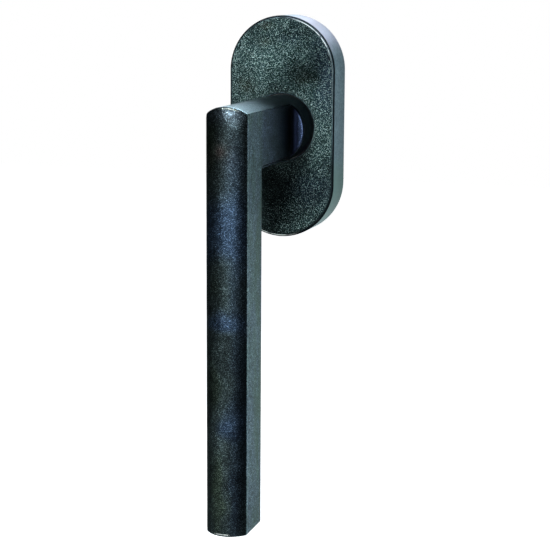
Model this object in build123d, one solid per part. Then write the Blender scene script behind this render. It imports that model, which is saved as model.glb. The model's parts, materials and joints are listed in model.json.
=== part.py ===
from build123d import *
import math
import os

# Window handle: a straight iron lever on an oval rosette, for a tilt-and-turn window.
# Millimetres. Each piece is drawn lying on the sash: x across, y up, z out into the room.
# Writing it turns it upright: +Z is up, the lever stands out towards -Y, the spindle towards +Y.
# The origin is where the spindle's axis meets the face of the sash.

# Rosette cover
ROSETTE_WIDTH = 33.5
ROSETTE_HEIGHT = 68.0
ROSETTE_DEPTH = 12.0
COVER_FRONT_WALL = 2.0
COVER_SIDE_WALL = 2.0
COVER_EDGE_ROUND = 0.5
COVER_HOLE_GAP = 0.35
COVER_HOLE_ROUND = 0.2

# Nylon ring behind the cover's hole, which runs on the neck
GUIDE_RING_WIDTH = 2.0
GUIDE_RING_THICKNESS = 1.3
GUIDE_RING_SEAT = 1.0
GUIDE_RING_FIT = 0.08

# Lever
NECK_DIAMETER = 20.0
NECK_ROUND_LENGTH = 9.5
NECK_FLAT_FILLET = 2.0
NECK_UNDER_FILLET = 1.0
CASTING_EDGE = 0.5
GRIP_WIDTH = 12.3
GRIP_REACH = 49.0
GRIP_SIDE_DEPTH = 13.0
GRIP_CROWN = 3.4
GRIP_DROP = 114.0
GRIP_FRONT_EDGE = 0.5
GRIP_END_EDGE = 0.4

# Spindle, its sleeve in the neck, and the grub screw under the neck
SPINDLE_SIDE = 7.0
SPINDLE_OUT = 35.0
SPINDLE_IN = 20.0
SPINDLE_CHAMFER = 0.6
SPINDLE_FIT = 0.05
SLEEVE_IN_NECK = 11.0
GRUB_DIAMETER = 5.0
GRUB_LENGTH = 6.0
GRUB_FROM_COVER = 4.5
GRUB_HEX = 2.5
GRUB_HEX_DEPTH = 2.5
GRUB_CHAMFER = 0.4

# Spigot at the sleeve's rear, which turns in the base
FRONT_JOURNAL_DIAMETER = 14.0
REAR_JOURNAL_DIAMETER = 12.0
RUNNING_CLEARANCE = 0.04
AXIAL_PLAY = 0.05
SPIGOT_SUNK = 0.4
CAM_FLAT_RELIEF = 0.1
RING_FROM_END = 0.6
RING_THICKNESS = 1.0
RING_SIDE_PLAY = 0.05
RING_GROOVE_DEPTH = 0.25
RING_WIDTH = 1.8
RING_GAP = 3.0
RING_EAR_DIAMETER = 2.8
RING_EAR_HOLE = 1.1
RING_EAR_OUT = 1.3

# Base, its bushes and the plate over the detent
BASE_FIT = 0.2
BASE_EDGE_ROUND = 0.6
BUSH_WALL = 1.0
REAR_FLANGE_THICKNESS = 0.8
REAR_FLANGE_WIDTH = 1.5
REAR_RECESS_DIAMETER = 19.0
FRONT_FLANGE_THICKNESS = 0.5
FRONT_FLANGE_WIDTH = 1.8
PLATE_THICKNESS = 1.0
PLATE_SIDE_MARGIN = 1.05
PLATE_END_GAP = 0.5
PLATE_CORNER = 4.0
PLATE_SCREW_FROM_END = 2.45
PLATE_SCREW_DIAMETER = 2.5
PLATE_SCREW_HEAD = 4.3
PLATE_SCREW_LENGTH = 5.0
PLATE_SCREW_HOLE_SPARE = 0.3
PLATE_CROSS_SPAN = 2.4
PLATE_CROSS_ARM = 0.5
PLATE_CROSS_DEPTH = 0.7
SPRING_WASHER_HEIGHT = 0.5
SPRING_WASHER_THICKNESS = 0.25
SPRING_WASHER_WIDTH = 2.4
SPRING_WASHER_BORE_GAP = 0.15

# Detent: a cam with a notch on each diagonal, and a sprung ball for each notch
DETENT_COUNT = 4
DETENT_FIRST_ANGLE = 45.0
CAM_WALL = 1.5
CAM_ROOM = 0.2
CAM_END_PLAY = 0.15
BALL_DIAMETER = 3.5
BALL_FIT = 0.03
BALL_HEADROOM = 0.2
NOTCH_DEPTH = 0.7
DETENT_WALL = 1.6
DETENT_SPRING_WIRE = 0.4
DETENT_SPRING_DIAMETER = 3.0
DETENT_SPRING_TURNS = 5
DETENT_SPRING_SEAT_GAP = 0.02

# Fixing to the sash: two screws, each through a locating sleeve.
# Centred this far from the rosette's ends, they are the standard 43 mm apart.
SCREW_FROM_END = 12.5
SCREW_DIAMETER = 5.0
SCREW_SHANK_DIAMETER = 4.4
SCREW_HEAD_DIAMETER = 9.2
SCREW_HEAD_SUNK = 0.2
SCREW_HEAD_RIM = 0.3
SCREW_HEAD_CLEARANCE = 0.1
SCREW_LENGTH = 45.0
SCREW_THREAD_FROM_SLEEVE = 0.5
SCREW_TIP_CHAMFER = 0.8
SCREW_HOLE_CLEARANCE = 0.15
SCREW_CROSS_SPAN = 5.0
SCREW_CROSS_ARM = 1.1
SCREW_CROSS_DEPTH = 2.0
LOCATOR_DIAMETER = 10.0
LOCATOR_OUT = 7.0
LOCATOR_CHAMFER = 0.5
LOCATOR_COLLAR_DIAMETER = 12.0
LOCATOR_COLLAR_THICKNESS = 1.5
LOCATOR_COLLAR_FIT = 0.05
LOCATOR_SPIGOT_DIAMETER = 8.0
LOCATOR_SPIGOT_DEPTH = 4.0

# Leaf springs that hold the cover
CLIP_WIDTH = 6.0
CLIP_THICKNESS = 0.4
CLIP_POCKET_DEPTH = 2.2
CLIP_POCKET_FLOOR = 0.8
CLIP_SIDE_GAP = 0.2
CLIP_BEND = 0.5
CLIP_TOP = 6.9
CLIP_CREST_HEIGHT = 3.6
CLIP_FOOT_HEIGHT = 1.4
CLIP_FOOT_IN = 1.0
CLIP_BITE = 0.35
COVER_GROOVE_GAP = 0.2
COVER_GROOVE_HEIGHT = 3.8

# Radii and half sizes
neck_radius = NECK_DIAMETER / 2
grip_half = GRIP_WIDTH / 2
front_journal = FRONT_JOURNAL_DIAMETER / 2
rear_journal = REAR_JOURNAL_DIAMETER / 2
cam_flat = rear_journal + CAM_FLAT_RELIEF
rear_bush_outside = rear_journal + RUNNING_CLEARANCE + BUSH_WALL
front_bush_outside = front_journal + RUNNING_CLEARANCE + BUSH_WALL
ring_inside = rear_journal - RING_GROOVE_DEPTH
guide_ring_bore = neck_radius + GUIDE_RING_FIT
guide_ring_outside = guide_ring_bore + GUIDE_RING_WIDTH
socket_side = SPINDLE_SIDE + 2 * SPINDLE_FIT
screw_hole = SCREW_DIAMETER / 2 + SCREW_HOLE_CLEARANCE
inside_width = ROSETTE_WIDTH - 2 * COVER_SIDE_WALL
inside_height = ROSETTE_HEIGHT - 2 * COVER_SIDE_WALL
base_width = inside_width - 2 * BASE_FIT
base_height = inside_height - 2 * BASE_FIT
screw_y = ROSETTE_HEIGHT / 2 - SCREW_FROM_END
screw_head_hole = SCREW_HEAD_DIAMETER / 2 + SCREW_HEAD_CLEARANCE
plate_width = base_width - 2 * PLATE_SIDE_MARGIN
plate_height = 2 * (screw_y - screw_head_hole - PLATE_END_GAP)
plate_screw_y = plate_height / 2 - PLATE_SCREW_FROM_END

# Levels, from the sash outwards
cover_inside = ROSETTE_DEPTH - COVER_FRONT_WALL
neck_seat = cover_inside
sleeve_front = neck_seat + SLEEVE_IN_NECK
flange_front = neck_seat - SPRING_WASHER_HEIGHT - AXIAL_PLAY
plate_front = flange_front - FRONT_FLANGE_THICKNESS
base_depth = plate_front - PLATE_THICKNESS
pocket_floor = base_depth - BALL_DIAMETER - 2 * BALL_HEADROOM
ball_level = (pocket_floor + base_depth) / 2
cam_rear = pocket_floor + CAM_END_PLAY
cam_front = base_depth - CAM_END_PLAY
ring_rear = SPIGOT_SUNK + RING_FROM_END
ring_front = ring_rear + RING_THICKNESS
rear_flange_rear = ring_front + AXIAL_PLAY
rear_flange_front = rear_flange_rear + REAR_FLANGE_THICKNESS
grub_level = ROSETTE_DEPTH + GRUB_FROM_COVER
flats_start = ROSETTE_DEPTH + NECK_ROUND_LENGTH
grip_side_front = GRIP_REACH + GRIP_SIDE_DEPTH
grip_crest = grip_side_front + GRIP_CROWN
screw_head_top = base_depth - SCREW_HEAD_SUNK
screw_tip = screw_head_top - SCREW_LENGTH

# Distances from the axis in the detent, whose slots run out along the diagonals
cam_radius = front_journal + CAM_WALL
ball_radius = BALL_DIAMETER / 2
pocket_radius = cam_radius + CAM_ROOM
ball_ride = cam_radius + ball_radius + BALL_FIT
ball_in_notch = ball_ride - NOTCH_DEPTH
slot_width = BALL_DIAMETER + 2 * BALL_FIT
slot_end = (base_width / 2 - DETENT_WALL) * math.sqrt(2) - slot_width / 2
detent_angles = [DETENT_FIRST_ANGLE + i * 360 / DETENT_COUNT for i in range(DETENT_COUNT)]

FROM_BELOW = (Align.CENTER, Align.CENTER, Align.MIN)
SAME = 1e-3


# Plain solids that stand on a level and end at another

def disc(radius, low, high, x=0.0, y=0.0):
    return Pos(x, y, low) * Cylinder(radius, high - low, align=FROM_BELOW)


def ring(outside, inside, low, high):
    return disc(outside, low, high) - disc(inside, low, high)


def cone(low_radius, high_radius, low, high, y=0.0):
    return Pos(0, y, low) * Cone(low_radius, high_radius, high - low, align=FROM_BELOW)


def block(width, height, low, high, y=0.0):
    return Pos(0, y, low) * Box(width, height, high - low, align=FROM_BELOW)


def oval(width, height, low, high):
    return extrude(Pos(0, 0, low) * SlotOverall(height, width, rotation=90), high - low)


# A rod along y, at the level of the grub screw
def upright_rod(radius, bottom, top):
    return Pos(0, bottom, grub_level) * Rot(-90, 0, 0) * Cylinder(radius, top - bottom, align=FROM_BELOW)


def cross_recess(span, arm, depth, top, y):
    return block(span, arm, top - depth, top, y) + block(arm, span, top - depth, top, y)


# An outline drawn in x and z, made solid from one height to another
def raise_plan(plan, bottom, top):
    return Plane.XZ.offset(-top) * extrude(plan, top - bottom)


def corners_at(plan, x, z):
    return [v for v in plan.vertices() if abs(abs(v.X) - x) < SAME and abs(v.Y - z) < SAME]


def edges_between(shape, low, high):
    inside = []
    for edge in shape.edges():
        box = edge.bounding_box()
        gaps = [box.min.X - low[0], box.min.Y - low[1], box.min.Z - low[2],
                high[0] - box.max.X, high[1] - box.max.Y, high[2] - box.max.Z]
        if min(gaps) > -SAME:
            inside.append(edge)
    return inside


# Lever

def neck_plan():
    half = [(0, neck_seat), (neck_radius, neck_seat), (neck_radius, flats_start),
            (grip_half, flats_start), (grip_half, grip_crest), (0, grip_crest)]
    other_half = [(-x, z) for x, z in reversed(half)]
    plan = make_face(Polyline(*half, *other_half[1:]))
    return fillet(corners_at(plan, grip_half, flats_start), NECK_FLAT_FILLET)


# Everything behind the crowned front of the grip
def crown_plan():
    front = ThreePointArc((-grip_half, grip_side_front), (0, grip_crest), (grip_half, grip_side_front))
    behind = Polyline((grip_half, grip_side_front), (grip_half, GRIP_REACH), (neck_radius, GRIP_REACH),
                      (neck_radius, 0), (-neck_radius, 0), (-neck_radius, GRIP_REACH),
                      (-grip_half, GRIP_REACH), (-grip_half, grip_side_front))
    plan = make_face(Curve() + [front, behind])
    return fillet(corners_at(plan, grip_half, grip_side_front), GRIP_FRONT_EDGE)


# Softened edges: the corner under the neck, then the outline of each side, then the grip's end.
# A side's outline is one smooth line: up the grip's back, round the corner and the neck, over its top.
def soften_casting(casting):
    underside = -math.sqrt(neck_radius ** 2 - grip_half ** 2)
    corner = edges_between(casting, (-grip_half, -neck_radius, GRIP_REACH), (grip_half, underside, GRIP_REACH))
    casting = fillet(corner, NECK_UNDER_FILLET)
    outlines = []
    for side in (grip_half, -grip_half):
        outlines += edges_between(casting, (side, -GRIP_DROP, GRIP_REACH), (side, underside, GRIP_REACH))
    casting = fillet(outlines, CASTING_EDGE)
    end = edges_between(casting, (-grip_half, -GRIP_DROP, GRIP_REACH), (grip_half, -GRIP_DROP, grip_crest))
    return fillet(end, GRIP_END_EDGE)


# Iron casting, grip and neck in one, bored for the sleeve and tapped for the grub screw
def lever():
    neck = raise_plan(neck_plan(), -neck_radius, neck_radius) & disc(neck_radius, neck_seat, grip_crest)
    grip = block(GRIP_WIDTH, GRIP_DROP, GRIP_REACH, grip_crest, y=-GRIP_DROP / 2)
    casting = (neck + grip) & raise_plan(crown_plan(), -GRIP_DROP, neck_radius)
    casting = soften_casting(casting)
    casting -= disc(front_journal, neck_seat, sleeve_front)
    casting -= upright_rod(GRUB_DIAMETER / 2, -neck_radius, 0)
    return casting


# The part of the spigot that the cam is keyed on: round, with two flats
def cam_seat(low, high):
    return disc(front_journal, low, high) & block(FRONT_JOURNAL_DIAMETER, 2 * cam_flat, low, high)


def spindle_sleeve():
    sleeve = disc(rear_journal, SPIGOT_SUNK, cam_rear)
    sleeve += cam_seat(cam_rear, cam_front)
    sleeve += disc(front_journal, cam_front, sleeve_front)
    groove_rear = ring_rear - RING_SIDE_PLAY
    groove_front = ring_front + RING_SIDE_PLAY
    sleeve -= ring(rear_journal, ring_inside, groove_rear, groove_front)
    sleeve -= block(socket_side, socket_side, SPIGOT_SUNK, sleeve_front)
    sleeve -= upright_rod(GRUB_DIAMETER / 2, -front_journal, 0)
    return sleeve


def spindle():
    bar = block(SPINDLE_SIDE, SPINDLE_SIDE, -SPINDLE_OUT, SPINDLE_IN)
    ends = bar.faces().sort_by(Axis.Z)
    return chamfer(ends[0].edges() + ends[-1].edges(), SPINDLE_CHAMFER)


def spindle_grub_screw():
    tip = -SPINDLE_SIDE / 2
    socket_end = tip - GRUB_LENGTH
    screw = upright_rod(GRUB_DIAMETER / 2, socket_end, tip)
    screw = chamfer(screw.edges().filter_by(GeomType.CIRCLE), GRUB_CHAMFER)
    hexagon = extrude(RegularPolygon(GRUB_HEX / 2, 6, major_radius=False), GRUB_HEX_DEPTH)
    return screw - Pos(0, socket_end, grub_level) * Rot(-90, 0, 0) * hexagon


def retaining_ring():
    outside = ring_inside + RING_WIDTH
    circlip = ring(outside, ring_inside, ring_rear, ring_front)
    circlip -= block(RING_GAP, outside, ring_rear, ring_front, y=-outside / 2 - ring_inside / 2)
    ear = RING_EAR_DIAMETER / 2
    x = RING_GAP / 2 + ear
    y = -math.sqrt((rear_journal + RING_EAR_OUT) ** 2 - x ** 2)
    for side in (x, -x):
        circlip += disc(ear, ring_rear, ring_front, side, y)
    for side in (x, -x):
        circlip -= disc(RING_EAR_HOLE / 2, ring_rear, ring_front, side, y)
    return circlip


# Coned washer between the front bush and the neck
def spring_washer():
    inside = front_journal + SPRING_WASHER_BORE_GAP
    outside = inside + SPRING_WASHER_WIDTH
    low = neck_seat - SPRING_WASHER_HEIGHT
    section = Polyline((inside, neck_seat - SPRING_WASHER_THICKNESS), (inside, neck_seat),
                       (outside, low + SPRING_WASHER_THICKNESS), (outside, low), close=True)
    return revolve(Plane.XZ * make_face(section), Axis.Z)


# Detent

def at_angle(angle, shape):
    return Rot(0, 0, angle) * shape


def detent_cam():
    cam = disc(cam_radius, cam_rear, cam_front) - cam_seat(cam_rear, cam_front)
    for angle in detent_angles:
        cam -= at_angle(angle, disc(ball_radius + BALL_FIT, cam_rear, cam_front, x=ball_in_notch))
    return cam


# Drawn pressed back on the cam's rim: its rest position, from which it drops into the notch
def detent_ball(angle):
    return at_angle(angle, Pos(ball_ride, 0, ball_level) * Sphere(ball_radius))


def detent_spring(angle):
    coil = (DETENT_SPRING_DIAMETER - DETENT_SPRING_WIRE) / 2
    wire = DETENT_SPRING_WIRE / 2
    reach = ball_radius + wire + DETENT_SPRING_SEAT_GAP
    start = ball_ride + math.sqrt(reach ** 2 - coil ** 2)
    length = slot_end - wire - DETENT_SPRING_SEAT_GAP - start
    path = Helix(length / DETENT_SPRING_TURNS, length, coil)
    section = Plane(origin=path @ 0, z_dir=path % 0) * Circle(wire)
    spring = sweep(section, path=path, is_frenet=True)
    return at_angle(angle, Pos(start, 0, ball_level) * Rot(0, 90, 0) * spring)


# Base

def rear_bush():
    bush = disc(rear_bush_outside + REAR_FLANGE_WIDTH, rear_flange_rear, rear_flange_front)
    bush += disc(rear_bush_outside, rear_flange_rear, pocket_floor)
    return bush - disc(rear_journal + RUNNING_CLEARANCE, rear_flange_rear, pocket_floor)


def front_bush():
    bush = disc(front_bush_outside + FRONT_FLANGE_WIDTH, plate_front, flange_front)
    bush += disc(front_bush_outside, base_depth, flange_front)
    return bush - disc(front_journal + RUNNING_CLEARANCE, base_depth, flange_front)


def plate_screw(y):
    shank = PLATE_SCREW_DIAMETER / 2
    head = PLATE_SCREW_HEAD / 2
    return disc(shank, plate_front - PLATE_SCREW_LENGTH, plate_front, y=y) + cone(
        shank, head, plate_front - (head - shank), plate_front, y)


def plate_screw_hole(y):
    bottom = plate_front - PLATE_SCREW_LENGTH - PLATE_SCREW_HOLE_SPARE
    return plate_screw(y) + disc(PLATE_SCREW_DIAMETER / 2, bottom, base_depth, y=y)


def plate_screws():
    screws = []
    for y in (plate_screw_y, -plate_screw_y):
        cross = cross_recess(PLATE_CROSS_SPAN, PLATE_CROSS_ARM, PLATE_CROSS_DEPTH, plate_front, y)
        screws.append((plate_screw(y) - cross).solid())
    return Compound(screws)


def detent_plate():
    plate = extrude(Pos(0, 0, base_depth) * RectangleRounded(plate_width, plate_height, PLATE_CORNER),
                    PLATE_THICKNESS)
    plate -= disc(front_bush_outside, base_depth, plate_front)
    for y in (plate_screw_y, -plate_screw_y):
        plate -= plate_screw(y)
    return plate


# The space of a fixing screw's head and of its hole down to the locating sleeve
def fixing_hole(y):
    head = SCREW_HEAD_DIAMETER / 2
    shank = SCREW_SHANK_DIAMETER / 2
    rim = screw_head_top - SCREW_HEAD_RIM
    hole = disc(screw_hole, 0, screw_head_top, y=y)
    hole += cone(shank, head, rim - (head - shank), rim, y)
    hole += disc(screw_head_hole, rim, base_depth, y=y)
    hole += disc(LOCATOR_SPIGOT_DIAMETER / 2, 0, LOCATOR_SPIGOT_DEPTH, y=y)
    collar = LOCATOR_COLLAR_DIAMETER / 2 + LOCATOR_COLLAR_FIT
    return hole + disc(collar, 0, LOCATOR_COLLAR_THICKNESS, y=y)


def clip_pocket():
    width = CLIP_WIDTH + 2 * CLIP_SIDE_GAP
    middle = base_height / 2
    return block(width, 2 * CLIP_POCKET_DEPTH, CLIP_POCKET_FLOOR, base_depth, y=middle)


def base_plate():
    base = oval(base_width, base_height, 0, base_depth)
    base = fillet(base.edges().group_by(Axis.Z)[-1], BASE_EDGE_ROUND)
    base -= disc(pocket_radius, pocket_floor, base_depth)
    base -= disc(rear_bush_outside, 0, pocket_floor)
    base -= disc(REAR_RECESS_DIAMETER / 2, 0, rear_flange_front)
    slot = Pos(slot_end / 2, 0, 0) * block(slot_end, slot_width, pocket_floor, base_depth)
    for angle in detent_angles:
        base -= at_angle(angle, slot)
    for side in (0, 180):
        base -= at_angle(side, fixing_hole(screw_y))
        base -= at_angle(side, plate_screw_hole(plate_screw_y))
        base -= at_angle(side, clip_pocket())
    return base


def locating_sleeve(y):
    sleeve = disc(LOCATOR_DIAMETER / 2, -LOCATOR_OUT, 0, y=y)
    sleeve = chamfer(sleeve.edges().group_by(Axis.Z)[0], LOCATOR_CHAMFER)
    sleeve += disc(LOCATOR_COLLAR_DIAMETER / 2, 0, LOCATOR_COLLAR_THICKNESS, y=y)
    sleeve += disc(LOCATOR_SPIGOT_DIAMETER / 2, 0, LOCATOR_SPIGOT_DEPTH, y=y)
    return sleeve - disc(screw_hole, -LOCATOR_OUT, LOCATOR_SPIGOT_DEPTH, y=y)


# Countersunk screw: its shank is thinner than its thread as far as the end of the sleeve
def fixing_screw(y):
    head = SCREW_HEAD_DIAMETER / 2
    shank = SCREW_SHANK_DIAMETER / 2
    rim = screw_head_top - SCREW_HEAD_RIM
    thread_start = -LOCATOR_OUT - SCREW_THREAD_FROM_SLEEVE
    screw = disc(SCREW_DIAMETER / 2, screw_tip, thread_start, y=y)
    screw = chamfer(screw.edges().group_by(Axis.Z)[0], SCREW_TIP_CHAMFER)
    screw += disc(shank, thread_start, rim, y=y)
    screw += cone(shank, head, rim - (head - shank), rim, y)
    screw += disc(head, rim, screw_head_top, y=y)
    return screw - cross_recess(SCREW_CROSS_SPAN, SCREW_CROSS_ARM, SCREW_CROSS_DEPTH, screw_head_top, y)


# Bent strip in the base's end pocket: its crest springs out into the cover's groove
def cover_clip():
    half = CLIP_THICKNESS / 2
    back = base_height / 2 - CLIP_POCKET_DEPTH + half
    front = back + 2 * CLIP_BEND
    bend_start = CLIP_TOP - half - CLIP_BEND
    crest = inside_height / 2 + CLIP_BITE - half
    path = Line((back, CLIP_POCKET_FLOOR + half), (back, bend_start))
    path += ThreePointArc((back, bend_start), (back + CLIP_BEND, bend_start + CLIP_BEND), (front, bend_start))
    path += Polyline((front, bend_start), (crest, CLIP_CREST_HEIGHT), (crest - CLIP_FOOT_IN, CLIP_FOOT_HEIGHT))
    strip = make_face(offset(path, half, side=Side.BOTH))
    return Plane.YZ * extrude(strip, CLIP_WIDTH / 2, both=True)


# Cover

def rosette_cover():
    cover = oval(ROSETTE_WIDTH, ROSETTE_HEIGHT, 0, ROSETTE_DEPTH)
    cover = fillet(cover.edges().group_by(Axis.Z)[-1], COVER_EDGE_ROUND)
    cover -= oval(inside_width, inside_height, 0, cover_inside)
    hole = neck_radius + COVER_HOLE_GAP
    cover -= disc(hole, cover_inside, ROSETTE_DEPTH)
    cover = fillet(edges_between(cover, (-hole, -hole, ROSETTE_DEPTH), (hole, hole, ROSETTE_DEPTH)),
                   COVER_HOLE_ROUND)
    cover -= disc(guide_ring_outside, cover_inside, cover_inside + GUIDE_RING_SEAT)
    groove = block(CLIP_WIDTH + 2 * CLIP_SIDE_GAP, inside_height + 2 * (CLIP_BITE + COVER_GROOVE_GAP),
                   CLIP_CREST_HEIGHT - COVER_GROOVE_HEIGHT / 2, CLIP_CREST_HEIGHT + COVER_GROOVE_HEIGHT / 2)
    return cover - groove


def cover_guide_ring():
    front = cover_inside + GUIDE_RING_SEAT
    return ring(guide_ring_outside, guide_ring_bore, front - GUIDE_RING_THICKNESS, front)


# Every piece by its name
pieces = {
    "lever": lever(),
    "spindle_sleeve": spindle_sleeve(),
    "spindle": spindle(),
    "spindle_grub_screw": spindle_grub_screw(),
    "retaining_ring": retaining_ring(),
    "spring_washer": spring_washer(),
    "detent_cam": detent_cam(),
    "rear_bush": rear_bush(),
    "front_bush": front_bush(),
    "plate_screws": plate_screws(),
    "detent_plate": detent_plate(),
    "base_plate": base_plate(),
    "rosette_cover": rosette_cover(),
    "cover_guide_ring": cover_guide_ring(),
}
for number, angle in enumerate(detent_angles, start=1):
    pieces[f"detent_ball_{number}"] = detent_ball(angle)
    pieces[f"detent_spring_{number}"] = detent_spring(angle)
for place, sign in (("upper", 1), ("lower", -1)):
    pieces[f"fixing_screw_{place}"] = fixing_screw(sign * screw_y)
    pieces[f"locating_sleeve_{place}"] = locating_sleeve(sign * screw_y)
    pieces[f"cover_clip_{place}"] = at_angle(0 if sign == 1 else 180, cover_clip())

os.makedirs("parts", exist_ok=True)
for name, piece in pieces.items():
    export_step(piece.rotate(Axis.X, 90), f"parts/{name}.step")
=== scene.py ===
import json
import math

import bmesh
import bpy
import numpy as np
from mathutils import Matrix, Vector, noise


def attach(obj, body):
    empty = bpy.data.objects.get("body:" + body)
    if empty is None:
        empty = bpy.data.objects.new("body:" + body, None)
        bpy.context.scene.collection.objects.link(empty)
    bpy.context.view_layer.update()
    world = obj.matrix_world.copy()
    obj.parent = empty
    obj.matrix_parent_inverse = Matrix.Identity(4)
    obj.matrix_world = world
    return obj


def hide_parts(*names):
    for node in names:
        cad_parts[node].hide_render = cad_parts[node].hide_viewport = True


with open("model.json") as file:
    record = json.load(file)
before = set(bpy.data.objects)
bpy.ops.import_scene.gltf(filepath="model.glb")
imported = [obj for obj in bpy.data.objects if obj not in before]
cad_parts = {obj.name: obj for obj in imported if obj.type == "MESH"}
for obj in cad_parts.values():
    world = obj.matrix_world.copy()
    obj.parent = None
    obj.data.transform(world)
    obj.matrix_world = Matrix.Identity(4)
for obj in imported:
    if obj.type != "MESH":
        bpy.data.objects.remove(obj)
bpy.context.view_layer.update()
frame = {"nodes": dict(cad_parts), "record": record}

MM = 0.001


# Camera

def place_camera():
    """Right of the handle and above it, looking a little down; the lens is long."""
    yaw, pitch, roll = 0.31155, 0.18370, -0.00573
    distance, across, down_by = 0.49533, -0.00567, 0.04753
    focal_pixels, frame_pixels, sensor = 1573.6, 550, 36.0
    forward = Vector((-math.sin(yaw) * math.cos(pitch), math.cos(yaw) * math.cos(pitch), -math.sin(pitch)))
    level = Vector((math.cos(yaw), math.sin(yaw), 0))
    down = forward.cross(level)
    right = math.cos(roll) * level + math.sin(roll) * down
    down = -math.sin(roll) * level + math.cos(roll) * down
    data = bpy.data.cameras.new("camera")
    data.sensor_width = sensor
    data.lens = focal_pixels / frame_pixels * sensor
    data.clip_start = 0.01
    camera = bpy.data.objects.new("camera", data)
    bpy.context.scene.collection.objects.link(camera)
    turn = Matrix((right, -down, -forward)).transposed().to_4x4()
    camera.matrix_world = Matrix.Translation(-distance * forward + across * right + down_by * down) @ turn
    bpy.context.scene.camera = camera


place_camera()


# Light

COOL = (0.86, 0.96, 1.0)


def area_light(name, where, target, size, power, spread):
    """Size in metres, power in watts, spread in degrees; the camera doesn't see the lamp itself."""
    data = bpy.data.lights.new(name, "AREA")
    data.shape = "RECTANGLE"
    data.size, data.size_y = size
    data.energy = power
    data.color = COOL
    data.spread = math.radians(spread)
    lamp = bpy.data.objects.new(name, data)
    bpy.context.scene.collection.objects.link(lamp)
    lamp.location = where
    lamp.rotation_euler = (Vector(target) - Vector(where)).to_track_quat("-Z", "Y").to_euler()
    lamp.visible_camera = False


area_light("key", (0.10, -0.94, 0.76), (0, -0.03, 0.0), (0.5, 0.36), 5.8, spread=60)
area_light("fill", (0.22, -1.08, 0.05), (0, -0.05, -0.02), (1.4, 0.7), 5.2, spread=120)
area_light("strip", (0.05, -0.40, 1.05), (0, -0.05, 0.0), (1.4, 0.22), 1.5, spread=80)
area_light("back", (-0.1, 0.95, 0.65), (0, -0.05, 0.0), (1.0, 0.5), 2.5, spread=60)


def map_range(nodes, low, high, to_low, to_high, smooth):
    node = nodes.new("ShaderNodeMapRange")
    node.interpolation_type = "SMOOTHSTEP" if smooth else "LINEAR"
    for name, number in (("From Min", low), ("From Max", high), ("To Min", to_low), ("To Max", to_high)):
        node.inputs[name].default_value = number
    return node


def math_node(nodes, kind):
    node = nodes.new("ShaderNodeMath")
    node.operation = kind
    return node


def make_world():
    """White to the camera; to the object, a bright backdrop behind it and a dim room in front."""
    world = bpy.data.worlds.new("world")
    bpy.context.scene.world = world
    world.use_nodes = True
    nodes, links = world.node_tree.nodes, world.node_tree.links
    nodes.clear()
    out = nodes.new("ShaderNodeOutputWorld")
    mix = nodes.new("ShaderNodeMixShader")
    seen = nodes.new("ShaderNodeBackground")
    room = nodes.new("ShaderNodeBackground")
    path = nodes.new("ShaderNodeLightPath")
    place = nodes.new("ShaderNodeTexCoord")
    split = nodes.new("ShaderNodeSeparateXYZ")
    behind = map_range(nodes, 0.55, 0.95, 0.02, 1.0, smooth=True)
    seen.inputs["Color"].default_value = (1, 1, 1, 1)
    room.inputs["Color"].default_value = (*COOL, 1)
    links.new(place.outputs["Generated"], split.inputs[0])
    links.new(split.outputs["Y"], behind.inputs["Value"])
    links.new(behind.outputs["Result"], room.inputs["Strength"])
    links.new(path.outputs["Is Camera Ray"], mix.inputs["Fac"])
    links.new(room.outputs[0], mix.inputs[1])
    links.new(seen.outputs[0], mix.inputs[2])
    links.new(mix.outputs[0], out.inputs["Surface"])


make_world()


# Shapes

def vectors(source, kind):
    found = np.empty(len(source) * 3)
    source.foreach_get(kind, found)
    return found.reshape(-1, 3)


def places_and_normals(mesh):
    return vectors(mesh.vertices, "co"), vectors(mesh.vertex_normals, "vector")


def in_millimetres(places):
    """Across, out from the sash and up."""
    return places[:, 0] / MM, -places[:, 1] / MM, places[:, 2] / MM


def move_to(mesh, places):
    mesh.vertices.foreach_set("co", places.ravel())
    mesh.update()


def keep_values(mesh, name, values):
    mesh.attributes.new(name, "FLOAT", "POINT").data.foreach_set("value", values.astype(np.float32))


def ease(value, low, high):
    t = np.clip((value - low) / (high - low), 0, 1)
    return t * t * (3 - 2 * t)


def noise_at(places, size, octaves=1):
    """Noise from about -1 to 1, with lumps of about size millimetres, at places in metres."""
    scaled = places / (size * MM)
    if octaves == 1:
        return np.array([noise.noise(p) for p in scaled])
    return np.array([noise.fractal(p, 1.0, 2.0, octaves) for p in scaled])


def welded(mesh):
    work = bmesh.new()
    work.from_mesh(mesh)
    bmesh.ops.remove_doubles(work, verts=work.verts, dist=1e-7)
    return work


def dense_copy(node, name, cell):
    """A copy of a CAD node in even cells of that many millimetres, drawn back onto the node's surface."""
    closed = frame["nodes"][node].data.copy()
    work = welded(closed)
    work.to_mesh(closed)
    work.free()
    surface = bpy.data.objects.new(name + "_surface", closed)
    piece = bpy.data.objects.new(name, closed.copy())
    for thing in (surface, piece):
        bpy.context.scene.collection.objects.link(thing)
    cells = piece.modifiers.new("cells", "REMESH")
    cells.mode = "VOXEL"
    cells.voxel_size = cell * MM
    wrap = piece.modifiers.new("wrap", "SHRINKWRAP")
    wrap.target = surface
    wrap.wrap_method = "NEAREST_SURFACEPOINT"
    bpy.context.view_layer.update()
    done = bpy.data.meshes.new_from_object(piece.evaluated_get(bpy.context.evaluated_depsgraph_get()))
    piece.modifiers.clear()
    piece.data = done
    bpy.data.objects.remove(surface)
    for polygon in done.polygons:
        polygon.use_smooth = True
    return piece


def edge_ends(mesh):
    """Two rows, with the vertex at each end of every edge."""
    ends = np.empty(len(mesh.edges) * 2, np.int64)
    mesh.edges.foreach_get("vertices", ends)
    return ends.reshape(-1, 2).T


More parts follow.
